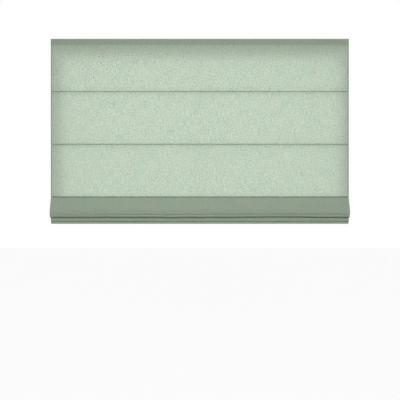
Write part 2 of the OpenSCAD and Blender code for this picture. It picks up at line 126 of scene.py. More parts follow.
class Signal:
    """A shader value that takes part in Python arithmetic."""

    def __init__(self, graph: "Graph", socket: bpy.types.NodeSocket) -> None:
        """Wraps a socket of a graph."""
        self.graph = graph
        self.socket = socket

    def __add__(self, other: "Operand") -> "Signal":
        """Sum of this value and another."""
        return self.graph.math("ADD", self, other)

    def __radd__(self, other: "Operand") -> "Signal":
        """Sum with a plain number in front."""
        return self.graph.math("ADD", other, self)

    def __sub__(self, other: "Operand") -> "Signal":
        """This value less another."""
        return self.graph.math("SUBTRACT", self, other)

    def __rsub__(self, other: "Operand") -> "Signal":
        """A plain number less this value."""
        return self.graph.math("SUBTRACT", other, self)

    def __mul__(self, other: "Operand") -> "Signal":
        """Product of this value and another."""
        return self.graph.math("MULTIPLY", self, other)

    def __rmul__(self, other: "Operand") -> "Signal":
        """Product with a plain number in front."""
        return self.graph.math("MULTIPLY", other, self)

    def sine(self) -> "Signal":
        """Sine of this value, in radians."""
        return self.graph.math("SINE", self)


Operand = Union[Signal, float]
Shade = Union[Signal, Colour]


class Graph:
    """A node tree that is written as expressions."""

    noise_roughness: float = 0.55

    def __init__(self, tree: bpy.types.NodeTree) -> None:
        """Takes over a node tree and empties it."""
        self.tree = tree
        tree.nodes.clear()

    def node(self, kind: str, settings: Optional[Mapping[str, Any]] = None,
             inputs: Optional[Mapping[Any, Any]] = None) -> bpy.types.Node:
        """Adds any node.

        Args:
            kind: The node's type.
            settings: Properties to set first.
            inputs: Values or signals for its sockets, by name or number.

        Returns:
            The new node.
        """
        made = self.tree.nodes.new(kind)
        for name, value in (settings or {}).items():
            setattr(made, name, value)
        for key, value in (inputs or {}).items():
            if isinstance(value, Signal):
                self.tree.links.new(value.socket, made.inputs[key])
            else:
                made.inputs[key].default_value = value
        return made

    def signal(self, kind: str, settings: Optional[Mapping[str, Any]] = None,
               inputs: Optional[Mapping[Any, Any]] = None, output: Union[int, str] = 0) -> Signal:
        """Adds any node.

        Args:
            kind: The node's type.
            settings: Properties to set first.
            inputs: Values or signals for its sockets.
            output: The output that is wanted.

        Returns:
            That output as a signal.
        """
        return Signal(self, self.node(kind, settings, inputs).outputs[output])

    def math(self, operation: str, first: Operand, second: Operand = 0.0) -> Signal:
        """One Math node on two values."""
        return self.signal("ShaderNodeMath", {"operation": operation}, {0: first, 1: second})

    def blend(self, factor: Operand, first: Shade, second: Shade) -> Signal:
        """Mixes two colours by a factor from 0 to 1."""
        ends = [end if isinstance(end, Signal) else (*end, 1.0) for end in (first, second)]
        return self.signal("ShaderNodeMix", {"data_type": "RGBA"},
                           {0: factor, 6: ends[0], 7: ends[1]}, 2)

    def noise(self, grain: Sequence[float], coords: Coords, detail: float = 2.0) -> Signal:
        """Smooth noise from 0 to 1.

        Args:
            grain: The size of a grain along each axis, in metres.
            coords: The coordinates that it reads.
            detail: How many finer layers are added.

        Returns:
            The noise value.
        """
        place = self.signal("ShaderNodeTexCoord", output=coords.value)
        spread = self.signal("ShaderNodeMapping", None,
                             {"Vector": place, "Scale": tuple(1.0 / size for size in grain)})
        return self.signal("ShaderNodeTexNoise", None,
                           {"Vector": spread, "Scale": 1.0, "Detail": detail,
                            "Roughness": self.noise_roughness})

    def uv(self) -> Tuple[Signal, Signal]:
        """Reads the surface's own UV map.

        Returns:
            The value across and the value along.
        """
        place = self.signal("ShaderNodeTexCoord", output=Coords.UV.value)
        split = self.node("ShaderNodeSeparateXYZ", None, {0: place})
        return Signal(self, split.outputs[0]), Signal(self, split.outputs[1])

    def bump(self, height: Signal, distance: float, strength: float) -> Signal:
        """Turns a height from 0 to 1 into a bent normal."""
        return self.signal("ShaderNodeBump", None,
                           {"Height": height, "Distance": distance, "Strength": strength})

    def surface(self, shader: Signal) -> None:
        """Sends a shader to the surface."""
        self.node("ShaderNodeOutputMaterial", None, {"Surface": shader})


def new_material(name: str) -> Tuple[bpy.types.Material, Graph]:
    """Makes an empty material.

    Args:
        name: The material's name.

    Returns:
        The material and its graph.
    """
    made = bpy.data.materials.new(name)
    made.use_nodes = True
    return made, Graph(made.node_tree)


@dataclass(frozen=True)
class LinenCloth:
    """Plain-woven linen cloth that lets about a third of the light through."""

    name: str = "sage_linen"
    dark: Colour = (0.395, 0.474, 0.377)
    light: Colour = (0.502, 0.598, 0.475)
    through: Colour = (0.54, 0.64, 0.53)
    see_through: float = 0.3
    thin_place: float = 0.5
    thread: float = 0.9 * MM
    slub_long: float = 38.0 * MM
    slub_fine: float = 1.7 * MM
    mottle: float = 5.0 * MM
    dye: float = 60.0 * MM
    dye_shift: float = 0.12
    weft_tone: float = 0.6
    warp_tone: float = 1.6
    mottle_tone: float = 3.4
    weave_height: float = 0.25
    slub_height: float = 0.6
    relief: float = 0.35 * MM
    bump: float = 0.45
    roughness: float = 0.93
    shine: float = 0.12

    def dyed(self, tone: Signal, shift: float) -> Signal:
        """The cloth's colour from dark to light, with its red changed by a share."""
        ends = [(red * (1.0 + shift), green, blue) for red, green, blue in (self.dark, self.light)]
        return tone.graph.blend(tone, *ends)

    def material(self) -> bpy.types.Material:
        """Builds the cloth's material.

        Slubs are noise drawn out along the weft and the warp, the mottle is round noise, and the
        weave is the product of two sine waves a thread apart. A wide noise shifts the dye a little
        between redder and greener. All of them follow the cloth's UV.
        Light places are thin ones, so they also let more light through.

        Returns:
            The material.
        """
        made, graph = new_material(self.name)
        weft = graph.noise((self.slub_long, self.slub_fine, 1.0), Coords.UV)
        warp = graph.noise((self.slub_fine, self.slub_long, 1.0), Coords.UV)
        mottle = graph.noise((self.mottle, self.mottle, 1.0), Coords.UV, 3.0)
        slubs = (weft - 0.5) * self.weft_tone + (warp - 0.5) * self.warp_tone
        tone = 0.5 + slubs + (mottle - 0.5) * self.mottle_tone
        dye = graph.noise((self.dye, self.dye, 1.0), Coords.UV)
        colour = graph.blend(dye, self.dyed(tone, -self.dye_shift), self.dyed(tone, self.dye_shift))
        across, along = graph.uv()
        weave = (across * (TURN / self.thread)).sine() * (along * (TURN / self.thread)).sine()
        raised = (weft - 0.5) * self.slub_height + (warp - 0.5) * self.slub_height
        normal = graph.bump(0.5 + weave * self.weave_height + raised, self.relief, self.bump)
        front = graph.signal("ShaderNodeBsdfPrincipled", None, {
            "Base Color": colour, "Roughness": self.roughness, "Specular IOR Level": self.shine,
            "Normal": normal})
        behind = graph.signal("ShaderNodeBsdfTranslucent", None, {"Color": (*self.through, 1.0)})
        thin = self.see_through + (tone - 0.5) * self.thin_place
        graph.surface(graph.signal("ShaderNodeMixShader", None, {0: thin, 1: front, 2: behind}))
        return made


@dataclass(frozen=True)
class Solid:
    """A finish of one shader: a colour that varies with a grain, a varied roughness and a bump."""

    name: str
    dark: Colour
    light: Colour
    grain: Triple
    rough: Tuple[float, float]
    metallic: float = 0.0
    relief: float = 0.05 * MM
    detail: float = 3.0
    dark_until: float = 0.3
    contrast: float = 2.5
    bump: float = 0.5

    def material(self) -> bpy.types.Material:
        """Builds the material from one noise, which drives colour, roughness and relief.

        Returns:
            The material.
        """
        made, graph = new_material(self.name)
        grain = graph.noise(self.grain, Coords.OBJECT, self.detail)
        tone = (grain - self.dark_until) * self.contrast
        low, high = self.rough
        graph.surface(graph.signal("ShaderNodeBsdfPrincipled", None, {
            "Base Color": graph.blend(tone, self.dark, self.light),
            "Roughness": low + grain * (high - low), "Metallic": self.metallic,
            "Normal": graph.bump(grain, self.relief, self.bump)}))
        return made


@dataclass(frozen=True)
class Braid:
    """Fine braided cord, with two sets of strands that cross round it."""

    name: str = "braided_cord"
    dark: Colour = (0.62, 0.63, 0.6)
    light: Colour = (0.88, 0.88, 0.85)
    strands: float = 4.0
    lay: float = 4.5 * MM
    least: float = 0.35
    relief: float = 0.12 * MM
    bump: float = 0.6
    roughness: float = 0.85
    shine: float = 0.2

    def material(self) -> bpy.types.Material:
        """Builds the material: the product of two sine waves that climb round the cord.

        Returns:
            The material.
        """
        made, graph = new_material(self.name)
        around, along = graph.uv()
        left = (around * (TURN * self.strands) + along * (TURN / self.lay)).sine()
        right = (around * (TURN * self.strands) - along * (TURN / self.lay)).sine()
        cross = 0.5 + left * right * 0.5
        graph.surface(graph.signal("ShaderNodeBsdfPrincipled", None, {
            "Base Color": graph.blend(self.least + cross * (1.0 - self.least), self.dark, self.light),
            "Roughness": self.roughness, "Specular IOR Level": self.shine,
            "Normal": graph.bump(cross, self.relief, self.bump)}))
        return made


LINEN = LinenCloth()
# Seam tape: it closes the third seam, and its colour, a shade darker than the cloth, is painted shade for
# the seam's shadow line.
PAINTED_SHADE_BINDING = LinenCloth("painted_shade_binding_linen", (0.230, 0.278, 0.220), (0.290, 0.350, 0.278),
                     see_through=0.02, thin_place=0.0)
BRAID = Braid()
POWDER_COAT = Solid("white_powder_coat", (0.80, 0.80, 0.78), (0.88, 0.88, 0.86),
                    (0.9 * MM, 0.9 * MM, 0.9 * MM), (0.38, 0.55), relief=0.03 * MM)
ZINC = Solid("zinc_plate", (0.50, 0.51, 0.52), (0.72, 0.73, 0.74),
             (5.0 * MM, 5.0 * MM, 5.0 * MM), (0.26, 0.5), 1.0, 0.02 * MM, 5.0)
DRAWN_STEEL = Solid("drawn_steel", (0.46, 0.47, 0.48), (0.68, 0.69, 0.70),
                    (40.0 * MM, 0.5 * MM, 0.5 * MM), (0.25, 0.45), 1.0, 0.02 * MM)
ALUMINIUM = Solid("mill_aluminium", (0.66, 0.67, 0.68), (0.82, 0.83, 0.84),
                  (60.0 * MM, 0.6 * MM, 0.6 * MM), (0.3, 0.5), 1.0, 0.02 * MM)
PLASTIC = Solid("white_moulding", (0.78, 0.78, 0.75), (0.86, 0.86, 0.83),
                (1.6 * MM, 1.6 * MM, 1.6 * MM), (0.36, 0.5), relief=0.03 * MM)
GLASS_FIBRE = Solid("glass_fibre", (0.70, 0.73, 0.66), (0.86, 0.88, 0.81),
                    (90.0 * MM, 0.35 * MM, 0.35 * MM), (0.3, 0.48), relief=0.03 * MM)
PILE = Solid("pile_tape", (0.08, 0.085, 0.08), (0.17, 0.175, 0.165),
             (0.7 * MM, 0.7 * MM, 0.7 * MM), (0.9, 1.0), relief=0.5 * MM)
THREAD = Solid("sewing_thread", (0.44, 0.52, 0.43), (0.60, 0.69, 0.58),
               (0.5 * MM, 0.5 * MM, 0.5 * MM), (0.6, 0.8), relief=0.05 * MM)

NODE_FINISH: Mapping[str, Solid] = {
    "headrail": POWDER_COAT, "bracket": ZINC, "lift_shaft": DRAWN_STEEL, "bottom_bar": ALUMINIUM,
    "end_cap": PLASTIC, "cradle": PLASTIC, "spring_anchor": PLASTIC, "spring_hub": PLASTIC,
    "brake_case": PLASTIC, "drum": PLASTIC, "rings": PLASTIC, "cord_stops": PLASTIC,
    "bottom_bar_cap": PLASTIC, "rod": GLASS_FIBRE, "hook_tape": PILE, "loop_tape": PILE}


@dataclass
class Finishes:
    """Gives each finish one material, made when it is first worn."""

    made: Dict[str, bpy.types.Material] = field(default_factory=dict)

    def wear(self, piece: bpy.types.Object, finish: Union[LinenCloth, Solid, Braid]) -> None:
        """Puts a finish on a piece in place of whatever it wore.

        Args:
            piece: The piece.
            finish: Its finish.
        """
        if finish.name not in self.made:
            self.made[finish.name] = finish.material()
        piece.data.materials.clear()
        piece.data.materials.append(self.made[finish.name])


SAME_PLACE = 1e-6

# Directions that no upright tube and no level tube runs along
RING_LEAN_UPRIGHT = np.array([1.0, 0.31, 0.17])
RING_LEAN_LEVEL = np.array([0.1, 0.3, 1.0])

# Faces of a stitch: its two ends are corners 0 and 1, and its girth is corners 2 to 5
SPINDLE = np.array([[0, 3, 2], [0, 4, 3], [0, 5, 4], [0, 2, 5],
                    [1, 2, 3], [1, 3, 4], [1, 4, 5], [1, 5, 2]])


def grid_faces(rows: int, columns: int, closed: bool = False) -> np.ndarray:
    """Quads of a grid of points.

    Args:
        rows: Points along the first parameter.
        columns: Points along the second parameter.
        closed: Whether the last column joins the first.

    Returns:
        Point numbers, four to a face.
    """
    row = np.arange(rows - 1)[:, None] * columns
    left = np.arange(columns if closed else columns - 1)[None, :]
    right = (left + 1) % columns
    corners = [row + left, row + right, row + columns + right, row + columns + left]
    return np.stack(corners, axis=-1).reshape(-1, 4)


def make_piece(name: str, points: np.ndarray, faces: np.ndarray,
               uv: Optional[np.ndarray] = None, smooth: bool = True) -> bpy.types.Object:
    """Puts arrays into a mesh object at the origin.

    Args:
        name: The piece's name.
        points: Places, three numbers each.
        faces: Point numbers of each face.
        uv: Texture places of the points, two numbers each.
        smooth: Whether it is shaded smooth.

    Returns:
        The new object.
    """
    mesh = bpy.data.meshes.new(name)
    mesh.from_pydata(points.reshape(-1, 3).tolist(), [], faces.tolist())
    if uv is not None:
        layer = mesh.uv_layers.new(name="cloth")
        layer.data.foreach_set("uv", uv.reshape(-1, 2)[faces.ravel()].astype(np.float32).ravel())
    mesh.polygons.foreach_set("use_smooth", np.full(len(faces), smooth))
    mesh.update()
    piece = bpy.data.objects.new(name, mesh)
    bpy.context.scene.collection.objects.link(piece)
    return piece


def line(start: Place, end: Place, step: float) -> np.ndarray:
    """Evenly spaced places on a straight line, both ends among them.

    Args:
        start: Its first place.
        end: Its last place.
        step: The spacing that is not gone under.

    Returns:
        The places.
    """
    start_at, end_at = np.array(start), np.array(end)
    count = max(2, int(np.linalg.norm(end_at - start_at) / step) + 1)
    return start_at + np.linspace(0.0, 1.0, count)[:, None] * (end_at - start_at)


def arc(centre: Place, radius: float, start: float, end: float, count: int) -> np.ndarray:
    """Places on a circle, from one angle to another, in radians."""
    angle = np.linspace(start, end, count)
    return np.array(centre) + radius * np.stack([np.cos(angle), np.sin(angle)], axis=1)


def joined(*runs: np.ndarray) -> np.ndarray:
    """Joins runs of places end to end, without those that repeat.

    Args:
        runs: Arrays of places.

    Returns:
        One array of places.
    """
    path = np.concatenate(runs)
    moved = np.linalg.norm(np.diff(path, axis=0), axis=1) > SAME_PLACE
    return path[np.concatenate([[True], moved])]


def run_length(path: np.ndarray) -> np.ndarray:
    """Distance along a path at each of its places."""
    return np.concatenate([[0.0], np.cumsum(np.linalg.norm(np.diff(path, axis=0), axis=1))])


def touch_angle(place: Place, centre: Place, radius: float, side: int) -> float:
    """Angle at which a line from a place touches a circle, on one side of it."""
    away = np.array(place) - np.array(centre)
    return math.atan2(away[1], away[0]) + side * math.acos(radius / float(np.linalg.norm(away)))


def tubes(name: str, paths: Sequence[np.ndarray], radius: float, sides: int) -> bpy.types.Object:
    """Round tubes along paths, as one piece with closed ends.

    Each ring stands square to the path's tangent t, on the two directions t x r and t x (t x r),
    where r is a fixed direction that is never along the path. The end rings shrink to a point.

    Args:
        name: The piece's name.
        paths: One array of places for each tube.
        radius: The tubes' radius.
        sides: Points round a ring.

    Returns:
        The new piece, with UV of turns round the tube and metres along it.
    """
    points, faces, places, base = [], [], [], 0
    turn = np.linspace(0.0, TURN, sides, endpoint=False)
    for path in paths:
        tangent = np.gradient(path, axis=0)
        tangent /= np.linalg.norm(tangent, axis=1)[:, None]
        upright = abs(tangent[0][0]) < 0.5
        out = np.cross(tangent, RING_LEAN_UPRIGHT if upright else RING_LEAN_LEVEL)
        out /= np.linalg.norm(out, axis=1)[:, None]
        over = np.cross(tangent, out)
        ring = np.cos(turn)[None, :, None] * out[:, None] + np.sin(turn)[None, :, None] * over[:, None]
        rows = np.concatenate([path[:1], path, path[-1:]])
        reach = np.concatenate([[0.0], np.full(len(path), radius), [0.0]])
        ring = np.concatenate([ring[:1], ring, ring[-1:]])
        points.append((rows[:, None] + reach[:, None, None] * ring).reshape(-1, 3))
        far = run_length(rows)
        places.append(np.stack(np.broadcast_arrays(turn[None] / TURN, far[:, None]), -1).reshape(-1, 2))
        faces.append(grid_faces(len(rows), sides, True) + base)
        base += len(rows) * sides
    return make_piece(name, np.concatenate(points), np.concatenate(faces), np.concatenate(places))


@dataclass(frozen=True)
class Stitch:
    """One stitch of sewing thread: a slim eight-sided spindle."""

    pitch: float = 3.6 * MM
    length: float = 2.6 * MM
    thick: float = 0.45 * MM
    proud: float = 0.1 * MM

    def row(self, name: str, centres: np.ndarray, along: Triple, out: Triple) -> bpy.types.Object:
        """Makes a row of stitches as one piece: the spindle's six corners about every middle.

        Args:
            name: The piece's name.
            centres: The stitches' middles.
            along: The direction that the row runs in.
            out: The direction that faces away from the cloth.

        Returns:
            The new piece.
        """
        run = np.array(along, float) * self.length / 2
        rise = np.array(out, float) * self.thick / 2
        side = np.cross(along, out) * self.thick / 2
        corners = np.array([-run, run, rise, side, -rise, -side])
        points = centres[:, None] + corners[None]
        faces = SPINDLE[None] + np.arange(len(centres))[:, None, None] * len(corners)
        return make_piece(name, points, faces.reshape(-1, 3))


@dataclass(frozen=True)
class Waves:
    """Three sine waves along the cloth's width, averaged."""

    lengths: Triple
    phases: Triple
    height: float

    def across(self, x: np.ndarray, shifts: Triple = (0.0, 0.0, 0.0)) -> np.ndarray:
        """Height times the mean of the sines of a turn times x / length, plus phase and shift.

        Args:
            x: Places across the width.
            shifts: Angles to add to the phases.

        Returns:
            The waves' heights at those places.
        """
        terms = zip(self.lengths, self.phases, shifts)
        angles = [TURN * x / length + phase + shift for length, phase, shift in terms]
        return self.height * np.mean(np.sin(angles), axis=0)


@dataclass(frozen=True)
class Hump:
    """A bell-shaped hump."""

    middle: float
    spread: float
    height: float

    def at(self, place: np.ndarray) -> np.ndarray:
        """Height times e to the power of minus the square of (place - middle) / spread."""
        return self.height * np.exp(-((place - self.middle) / self.spread) ** 2)


@dataclass(frozen=True)
class FoldEdge:
    """Lower edge of a gathered fold: a belly in front that tucks back to a tight turn.

    The belly is a quarter of an ellipse, from the fold's foremost place to its lowest, and the turn
    is part of a circle that touches it there.
    """

    front: float
    bottom: float
    belly: float
    height: float
    turn: float
    belly_points: int = 30
    turn_points: int = 10

    def section(self, start: Place, end: Place) -> np.ndarray:
        """Section of the edge, between the lines that touch it.

        Heights and depths are divided by the ellipse's own, which makes it a circle of radius 1.

        Args:
            start: Where the front layer comes from.
            end: Where the back layer goes.

        Returns:
            Section places.
        """
        round_up = 1.0 / np.array([self.belly, self.height])
        middle = np.array([self.front + self.belly, self.bottom + self.height])
        first = touch_angle(start * round_up, middle * round_up, 1.0, 1)
        tuck = arc(middle * round_up, 1.0, first, DOWNWARD, self.belly_points) / round_up
        behind = (self.front + self.belly, self.bottom + self.turn)
        last = touch_angle(end, behind, self.turn, -1) + TURN
        return joined(tuck, arc(behind, self.turn, DOWNWARD, last, self.turn_points))


@dataclass
class Sizes:
    """Sizes that the pieces share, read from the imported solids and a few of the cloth's own."""

    cloth_t: float = 0.8 * MM
    hem_w: float = 7.0 * MM
    hem_gap: float = 1.1 * MM
    layer: float = 1.3 * MM
    layer_gap: float = 0.5 * MM
    seam_r: float = 1.5 * MM
    seam_deep: float = 4.0 * MM
    seam_half: float = 0.85 * MM
    shoulder_r: float = 3.2 * MM
    shoulder_drop: float = 1.8 * MM
    panel_rise: float = 1.0 * MM
    facing: float = 10.5 * MM
    web_t: float = 1.6 * MM
    first_belly: float = 9.5 * MM
    first_height: float = 24.0 * MM
    first_turn: float = 0.8 * MM
    second_back: float = 3.0 * MM
    second_belly: float = 2.5 * MM
    second_height: float = 4.5 * MM
    second_turn: float = 1.5 * MM
    cord_r: float = 0.7 * MM
    bar_clear: float = 0.3 * MM
    width: float = field(init=False)
    cloth_y: float = field(init=False)
    top: float = field(init=False)
    rod_z: List[float] = field(init=False)
    rod_y: float = field(init=False)
    rod_r: float = field(init=False)
    cord_x: List[float] = field(init=False)
    shaft: Place = field(init=False)
    wind_r: float = field(init=False)
    cord_y: float = field(init=False)
    cord_end: float = field(init=False)
    wound: float = field(init=False)
    first_edge: FoldEdge = field(init=False)
    second_edge: FoldEdge = field(init=False)
    bar: np.ndarray = field(init=False)

    def __post_init__(self) -> None:
        """Reads the places of the cloth, rods, cords and shaft from the frame."""
        low, high = (np.array(corner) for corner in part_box("fabric_panel_1"))
        self.width = float(high[0] - low[0])
        self.cloth_y = float(low[1]) + self.cloth_t / 2
        self.top = float(high[2])
        rods = [np.array(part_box(f"rod_{i}")) for i in range(1, 6)]
        self.rod_z = [float(box[:, 2].mean()) for box in rods]
        self.rod_y = float(rods[0][:, 1].mean())
        self.rod_r = float(np.ptp(rods[0][:, 2])) / 2
        drums = [np.array(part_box(f"drum_{side}")) for side in ("left", "middle", "right")]
        self.cord_x = [float(box[:, 0].mean()) for box in drums]
        self.shaft = (float(drums[0][:, 1].mean()), float(drums[0][:, 2].mean()))
        cords = np.array(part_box("lift_cords"))
        self.wind_r = float(cords[1][2]) - self.shaft[1] - self.cord_r
        self.cord_y = self.shaft[0] - self.wind_r
        self.cord_end = float(cords[0][2])
        self.wound = float(np.ptp(cords[:, 0])) - (self.cord_x[2] - self.cord_x[0])
        first, second = (np.array(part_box(f"fold_{i}"))[0] + self.cloth_t / 2 for i in (1, 2))
        self.first_edge = FoldEdge(first[1], first[2], self.first_belly, self.first_height,
                                   self.first_turn)
        self.second_edge = FoldEdge(second[1] + self.second_back, second[2], self.second_belly,
                                    self.second_height, self.second_turn)
        self.bar = np.array(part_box("bottom_bar"))

    def crest(self, number: int) -> float:
        """Depth of one of the four layers that meet at the gathered rods, counted from the front."""
        return self.cloth_y - self.layer_gap + (number - 1) * self.layer


@dataclass
class Cloth:
    """The whole cloth: three flat panels, two gathered folds, the hem, the pockets and the binding, a tape
    whose darker colour is painted shade in the third seam.

    Steps are the spacing of places along a section, and places across the width are measured from
    the blind's middle.
    """

    sizes: Sizes
    finishes: Finishes
    pieces: List[bpy.types.Object] = field(default_factory=list)
    columns: int = 240
    step: float = 4.0 * MM
    turned_step: float = 2.0 * MM
    pocket_step: float = 1.5 * MM
    seam_step: float = 1.0 * MM
    binding_step: float = 0.5 * MM
    bend_points: int = 7
    facing_points: int = 5
    shoulder_points: int = 9
    corner_points: int = 6
    pocket_points: int = 26
    panel_waves: Waves = Waves((0.93, 0.57, 0.34), (0.4, 2.1, 4.4), 0.9 * MM)
    panel_shift: float = 1.7
    stack_waves: Waves = Waves((0.93, 0.57, 0.34), (0.4, 2.1, 4.4), 1.1 * MM)
    stack_reach: float = 0.1
    stack_most: float = 1.2
    edge_waves: Waves = Waves((0.41, 0.23, 0.13), (0.4, 2.1, 4.4), 0.6 * MM)
    seam_puckers: Waves = Waves((0.041, 0.029, 0.067), (0.3, 1.9, 3.7), 0.16 * MM)
    pucker_reach: float = 11.0 * MM
    pucker_clear: float = 4.0 * MM
    pocket_puckers: Waves = Waves((0.043, 0.027, 0.071), (0.2, 1.1, 2.9), 0.12 * MM)
    swell: Hump = Hump(0.33, 0.14, 2.8 * MM)
    nip: Hump = Hump(-0.405, 0.012, 2.2 * MM)
    press: Hump = Hump(10.5 * MM, 3.0 * MM, 2.0 * MM)
    press_least: float = 0.35
    press_fade: float = 0.03
    over_turn: float = 0.3 * MM
    over_past: float = 3.0 * MM
    gathered: float = 12.0 * MM
    pocket_from: float = 0.8
    binding_from: float = 0.7
    bar_room: float = 0.1 * MM
    hem_turn: float = 1.0 * MM
    hem_rise: float = 1.6 * MM
    hem_lap: float = 0.5 * MM
    hem_still: float = 4.0 * MM
    hem_free: float = 30.0 * MM
    stitch: Stitch = Stitch()
    side_start: float = 6.0 * MM
    side_inset: float = 1.4 * MM
    row_inset: float = 8.0 * MM
    row_back: float = 1.0 * MM
    profile: np.ndarray = field(init=False)
    across: np.ndarray = field(init=False)
    cut_w: float = field(init=False)
    used: float = field(init=False)
    strip_x: np.ndarray = field(init=False)
    strip_w: float = field(init=False)

    def __post_init__(self) -> None:
        """Works out the cloth's profile across its width.

        The profile runs along the front, turns round a small half circle at each side edge and
        comes back behind for the width of the hem.
        """
        size = self.sizes
        turn = size.hem_gap / 2
        edge = size.width / 2
        flat = edge - turn
        hem = line((flat, size.hem_gap), (edge - size.hem_w, size.hem_gap), self.turned_step)
        bend = arc((flat, turn), turn, -TURN / 4, TURN / 4, self.bend_points)
        right = joined(bend, hem)
        left = right[::-1] * np.array([-1.0, 1.0])
        front = np.stack([np.linspace(-flat, flat, self.columns), np.zeros(self.columns)], axis=1)
        self.profile = joined(left, front, right)
        across = run_length(self.profile)
        self.across = across - across[-1] / 2
        self.cut_w = float(across[-1])
        self.used = 0.0
        self.strip_x = front[:, :1]
        self.strip_w = 2 * flat

    def dress(self, name: str, points: np.ndarray, uv: np.ndarray, finish: LinenCloth) -> bpy.types.Object:
        """Args:
            name: The piece's name.
            points: Places on a grid, across the width and along the section.
            uv: Texture places on the same grid, in metres of cloth.
            finish: What it is made of.

        Returns:
            The new piece.
        """
        piece = make_piece(name, points, grid_faces(*points.shape[:2]), uv)
        self.finishes.wear(piece, finish)
        self.pieces.append(piece)
        return piece

    def sheet(self, name: str, path: np.ndarray, sway: np.ndarray,
              lift: Shift = 0.0) -> bpy.types.Object:
        """Draws the cloth's profile out along a section path.

        A point is the path's place, plus its back normal times the profile's depth, plus the sway
        towards the wall. The back normal is the path's tangent turned a quarter.

        Args:
            name: The piece's name.
            path: Section places, from the top of the cloth down.
            sway: Depths to add, one row for each profile point and one column for each place.
            lift: Heights to add, in rows and columns as sway.

        Returns:
            The new piece.
        """
        tangent = np.gradient(path, axis=0)
        tangent /= np.linalg.norm(tangent, axis=1)[:, None]
        back = np.stack([-tangent[:, 1], tangent[:, 0]], axis=1)
        x, depth = self.profile[:, :1], self.profile[:, 1:]
        points = np.empty((len(self.profile), len(path), 3))
        points[..., 0] = x
        points[..., 1] = path[:, 0] + depth * back[:, 0] + sway
        points[..., 2] = path[:, 1] + depth * back[:, 1] + lift
        along = run_length(path)
        uv = np.stack(np.broadcast_arrays(self.across[:, None], self.used + along[None]), axis=-1)
        self.used += float(along[-1])
        return self.dress(name, points, uv, LINEN)

    def strip(self, name: str, path: np.ndarray, finish: LinenCloth, rod: int,
              lift: Shift = 0.0) -> bpy.types.Object:
        """Draws a plain strip, as wide as the cloth between its side edges, along a section path.

        Args:
            name: The piece's name.
            path: Section places.
            finish: What it is made of.
            rod: The rod that it rests on and rides with.
            lift: Heights to add, one row for each column of the strip.

        Returns:
            The new piece.
        """
        points = np.empty((self.columns, len(path), 3))
        points[..., 0] = self.strip_x
        points[..., 1] = path[:, 0]
        points[..., 2] = path[:, 1] + lift
        along = run_length(path)
        uv = np.stack(np.broadcast_arrays(self.strip_x, along[None]), axis=-1)
        piece = self.dress(name, points, uv, finish)
        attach(piece, CHAIN[rod].value)
        return piece

    def sew(self, name: str, centres: np.ndarray, along: Triple, out: Triple) -> bpy.types.Object:
        """Makes a row of stitches.

        Args:
            name: The piece's name.
            centres: The stitches' middles.
            along: The direction that the row runs in.
            out: The direction that faces away from the cloth.

        Returns:
            The new piece.
        """
        piece = self.stitch.row(name, centres, along, out)
        self.finishes.wear(piece, THREAD)
        self.pieces.append(piece)
        return piece

    def panel_sway(self, path: np.ndarray, number: int, calm: float) -> np.ndarray:
        """Slow waves of a flat panel, and fine puckers beside its seams.

        The waves grow and shrink as half a sine from the calm top to the lower seam. The puckers
        die away exponentially from each seam and leave its turned edge straight.

        Args:
            path: Section places of the panel.
            number: Which panel, which shifts the waves.
            calm: Length at the top that is held flat.

        Returns:
            Depths for the profile points by the section places.
        """
        x = self.profile[:, :1]
        along = run_length(path)[None]
        length = along[0, -1]
        free = np.clip((along - calm) / (length - calm), 0.0, 1.0)
        slow = self.panel_waves.across(x, (self.panel_shift * number,) * 3)
        fine = self.seam_puckers.across(x, (0.0, float(number), 0.0))
        upper = np.exp(-along / self.pucker_reach) * (calm == 0.0)
        lower = np.exp(-(length - along) / self.pucker_reach)
        clear = (along > self.pucker_clear) * (along < length - self.pucker_clear)
        return slow * np.sin(math.pi * free) + fine * (upper + lower) * clear

    def stack_sway(self, path: np.ndarray) -> np.ndarray:
        """Slow waves of the gathered layers, which grow downwards and are the same for them all.

        Args:
            path: Section places of a layer.

        Returns:
            Depths for the profile points by the section places.
        """
        below = (self.sizes.rod_z[2] - path[:, 1]) / self.stack_reach
        return np.clip(below, 0.0, self.stack_most)[None] * self.stack_waves.across(self.profile[:, :1])

    def edge_lift(self, path: np.ndarray) -> np.ndarray:
        """Wander of the front fold's lower edge: a long swell, a small nip and slow waves.

        It grows with the square of the height below the next rod.

        Args:
            path: Section places of the fold.

        Returns:
            Heights for the profile points by the section places.
        """
        x = self.profile[:, :1]
        rod_z = self.sizes.rod_z[3]
        below = np.clip((rod_z - path[:, 1]) / (rod_z - self.sizes.first_edge.bottom), 0.0, 1.0)[None]
        return (self.swell.at(x) + self.nip.at(x) + self.edge_waves.across(x)) * below ** 2

    def crease(self, path: np.ndarray) -> np.ndarray:
        """Pressed line along the belly of the front fold, which fades at its left end.

        Args:
            path: Section places of the fold.

        Returns:
            Depths for the profile points by the section places.
        """
        across = 1.0 / (1.0 + np.exp(-(self.profile[:, :1] - self.nip.middle) / self.press_fade))
        fade = self.press_least + (1.0 - self.press_least) * across
        return fade * self.press.at(path[:, 1] - self.sizes.first_edge.bottom)[None]

    def from_seam(self, rod: int) -> np.ndarray:
        """Section of the cloth as it comes out of a rod's seam and turns down.

        Args:
            rod: The rod's number.

        Returns:
            Section places.
        """
        size = self.sizes
        top = size.rod_z[rod - 1] - size.seam_half
        bend = arc((size.cloth_y + size.seam_r, top - size.seam_r), size.seam_r, UPWARD, ROOMWARD,
                   self.bend_points)
        inside = (float(bend[0][0]) + size.seam_deep, top)
        return joined(line(inside, tuple(bend[0]), self.seam_step), bend)

